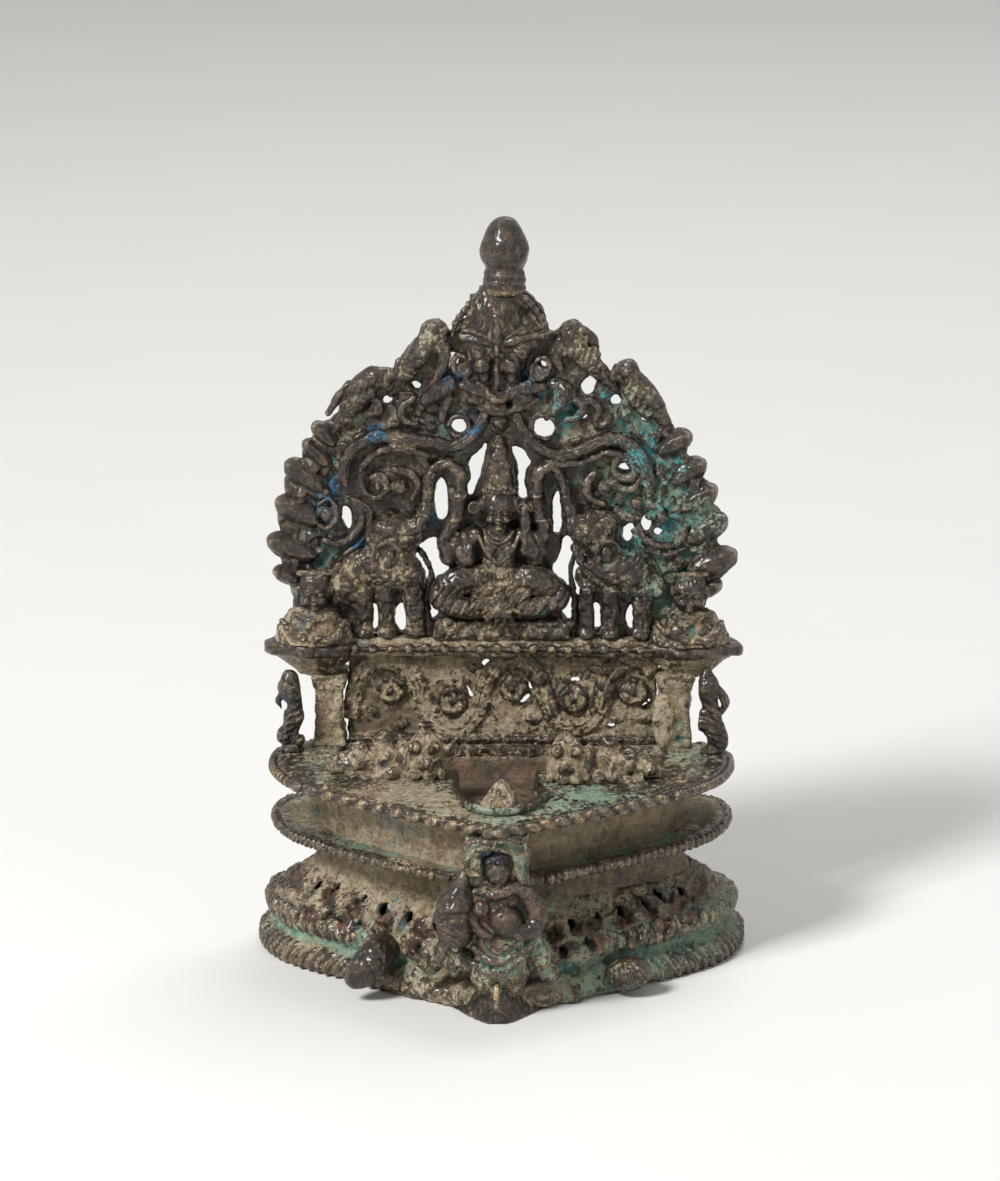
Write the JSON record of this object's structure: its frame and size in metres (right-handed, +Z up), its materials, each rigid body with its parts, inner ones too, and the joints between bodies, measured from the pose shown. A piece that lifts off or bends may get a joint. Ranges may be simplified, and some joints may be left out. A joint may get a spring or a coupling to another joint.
{
  "type": "bronze oil lamp",
  "caption": "Cast bronze shrine oil lamp with a leaf-shaped pan on a flared pierced foot and a pierced arched back plate carrying a seated goddess, elephants and side cups.",
  "frame": {"origin": "under the middle of the bounding box, on the surface that the foot stands on", "axes": "+Z up, the pointed spout faces -Y, the back plate faces -Y at the rear, +X to the viewer's right"},
  "size_m": [0.102, 0.0721, 0.1534],
  "materials": {
    "dark_bronze": "dark brown cast bronze with worn, slightly glossy high spots",
    "crusted_bronze": "matte bronze under a thin ochre earth crust",
    "verdigris_bronze": "matte bronze under pale green verdigris"
  },
  "bodies": {
    "root": {"foot_skirt": "crusted_bronze", "waist_wall": "crusted_bronze", "saucer": "verdigris_bronze", "saucer_rope": "dark_bronze", "oil_bowl": "crusted_bronze", "pan_ledge": "verdigris_bronze", "pan_rope": "dark_bronze", "channel_lip": "verdigris_bronze", "wick_stub": "crusted_bronze", "front_keel": "dark_bronze", "toe_left": "dark_bronze", "toe_right": "dark_bronze", "spout_web": "crusted_bronze", "lip_block": "crusted_bronze", "supporter_body": "dark_bronze", "supporter_head": "dark_bronze", "supporter_bell": "dark_bronze", "bull_left": "crusted_bronze", "bull_right": "crusted_bronze", "panel_sill": "dark_bronze", "sill_beads": "dark_bronze", "scroll_panel": "crusted_bronze", "panel_vine": "crusted_bronze", "roundel_1": "dark_bronze", "roundel_2": "dark_bronze", "roundel_3": "dark_bronze", "roundel_4": "dark_bronze", "roundel_5": "dark_bronze", "throne_step": "crusted_bronze", "throne_beads": "dark_bronze", "arch_plate": "dark_bronze", "lion_mask": "dark_bronze", "finial": "dark_bronze", "lotus_seat": "dark_bronze", "goddess_lap": "dark_bronze", "goddess_torso": "dark_bronze", "goddess_head": "dark_bronze", "goddess_crown": "dark_bronze", "goddess_arm_left": "dark_bronze", "elephant_left": "dark_bronze", "sea_beast_left": "dark_bronze", "upper_bird_left": "dark_bronze", "lower_bird_left": "dark_bronze", "flame_leaves_left": "dark_bronze", "bearer_head_left": "dark_bronze", "goddess_arm_right": "dark_bronze", "elephant_right": "dark_bronze", "sea_beast_right": "dark_bronze", "upper_bird_right": "dark_bronze", "lower_bird_right": "dark_bronze", "flame_leaves_right": "dark_bronze", "bearer_head_right": "dark_bronze", "post_left": "crusted_bronze", "oil_cup_left": "dark_bronze", "bearer_torso_left": "crusted_bronze", "parrot_left": "dark_bronze", "post_right": "crusted_bronze", "oil_cup_right": "dark_bronze", "bearer_torso_right": "crusted_bronze", "parrot_right": "dark_bronze"}
  },
  "joints": []
}
